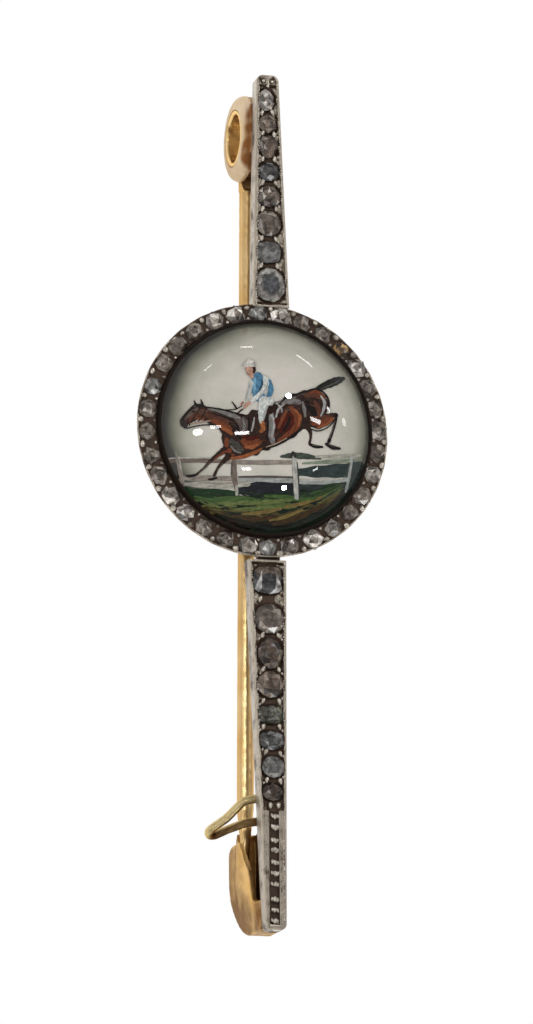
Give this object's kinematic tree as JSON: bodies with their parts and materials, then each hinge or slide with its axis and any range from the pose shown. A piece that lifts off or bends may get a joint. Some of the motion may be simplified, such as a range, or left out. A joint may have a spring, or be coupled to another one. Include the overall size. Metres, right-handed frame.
{
  "type": "intaglio brooch",
  "caption": "Bar brooch with a round domed crystal over a painted scene in a stone-set border, tapered stone-set arms, hinged pin, hook catch and chain loop.",
  "frame": {"origin": "on the surface the brooch lies on, under the middle of its bounding box", "axes": "+Z out of the brooch's face, +Y along the bar from the catch to the hinge, +X to the right seen from the front"},
  "size_m": [0.0164, 0.056, 0.0102],
  "materials": {
    "silver": "satin",
    "rose_gold": "satin",
    "yellow_gold": "satin",
    "pale_gold": "satin",
    "crystal": "gloss",
    "painting": "satin",
    "diamond": "gloss"
  },
  "bodies": {
    "brooch": {"silver_frame": "silver", "crystal_cabochon": "crystal", "painted_backing": "painting", "hinge_ears": "rose_gold", "hinge_rivet": "yellow_gold", "catch": "rose_gold", "safety_loop": "pale_gold"},
    "pin": {"pin": "yellow_gold"}
  },
  "joints": [
    {"name": "pin_hinge", "type": "hinge", "parent": "brooch", "child": "pin", "pos_m": [0.00033, 0.02475, 0.00282], "axis": [1, 0, 0], "range_deg": [0, 120]}
  ]
}
